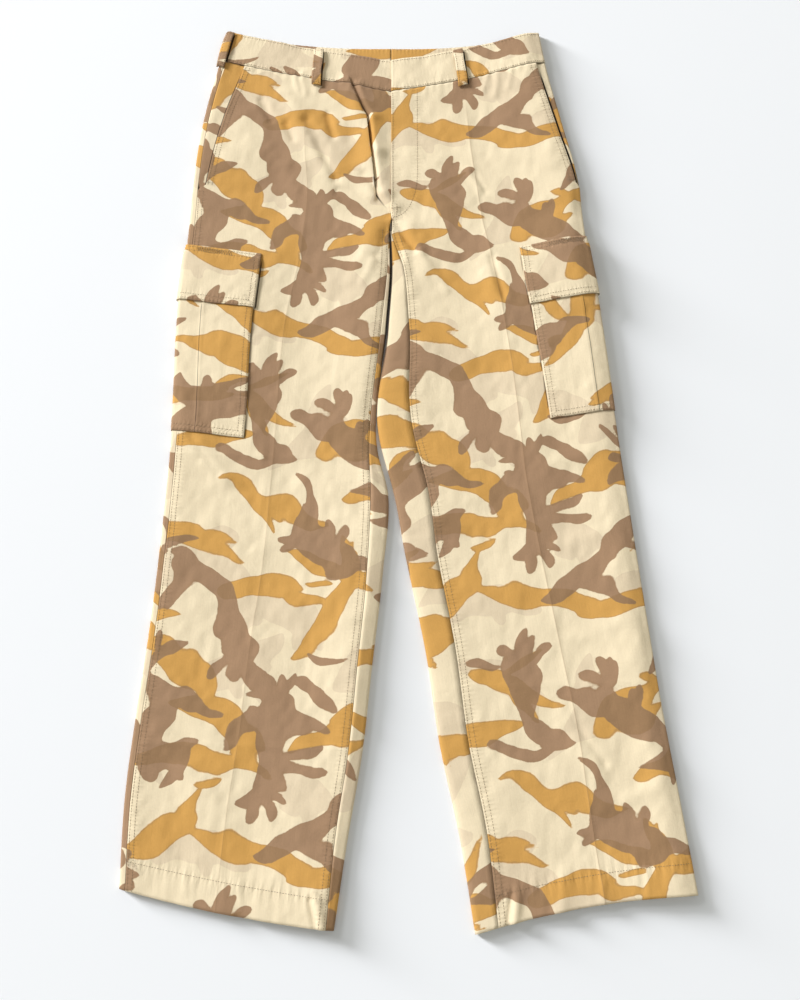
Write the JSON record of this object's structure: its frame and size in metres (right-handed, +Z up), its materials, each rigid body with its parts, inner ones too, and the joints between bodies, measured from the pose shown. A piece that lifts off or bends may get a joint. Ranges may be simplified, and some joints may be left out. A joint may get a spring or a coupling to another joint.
{
  "type": "cargo pants",
  "caption": "Camouflage cargo pants laid flat, with slant pockets, flapped bellows pockets on the thighs, belt loops and wide straight legs.",
  "frame": {"origin": "middle of the garment's length and width, on the surface that it lies on", "axes": "+Z up out of the front of the garment, +Y from the hems to the waist, +X toward the wearer's left"},
  "size_m": [0.6455, 1.152, 0.0132],
  "materials": {
    "printed_cloth": "light cotton twill, camouflage print in sand, ochre and taupe"
  },
  "bodies": {
    "root": {"front_right": "printed_cloth", "front_left": "printed_cloth", "back_right": "printed_cloth", "back_left": "printed_cloth", "waistband_right": "printed_cloth", "waistband_left": "printed_cloth", "pocket_facing_right": "printed_cloth", "pocket_facing_left": "printed_cloth", "cargo_pocket_right": "printed_cloth", "cargo_pocket_left": "printed_cloth", "cargo_flap_right": "printed_cloth", "cargo_flap_left": "printed_cloth", "belt_loop_front_right": "printed_cloth", "belt_loop_front_left": "printed_cloth", "belt_loop_side_right": "printed_cloth"}
  },
  "joints": []
}
